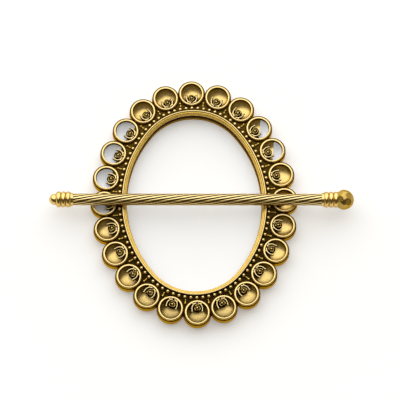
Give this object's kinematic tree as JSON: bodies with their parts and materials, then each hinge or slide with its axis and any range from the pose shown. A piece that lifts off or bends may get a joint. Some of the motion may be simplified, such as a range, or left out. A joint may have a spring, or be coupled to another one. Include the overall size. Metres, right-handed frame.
{
  "type": "oval curtain holdback",
  "caption": "Oval ornamental curtain holdback: an open ring of flower cups and pearls round a moulded collar, with a loose twisted stick laid across it.",
  "frame": {"origin": "centre of the oval opening, on the plane of the collar's back", "axes": "+Z out of the ornamental face, +Y along the oval's long axis, +X along its short axis, the way the stick's knob points"},
  "size_m": [0.243, 0.205, 0.0258],
  "materials": {
    "gilt_casting": "antique gold with dark patina in the hollows",
    "gilt_stick": "antique gold, satin"
  },
  "bodies": {
    "root": {"frame": "gilt_casting", "stick": "gilt_stick"}
  },
  "joints": []
}
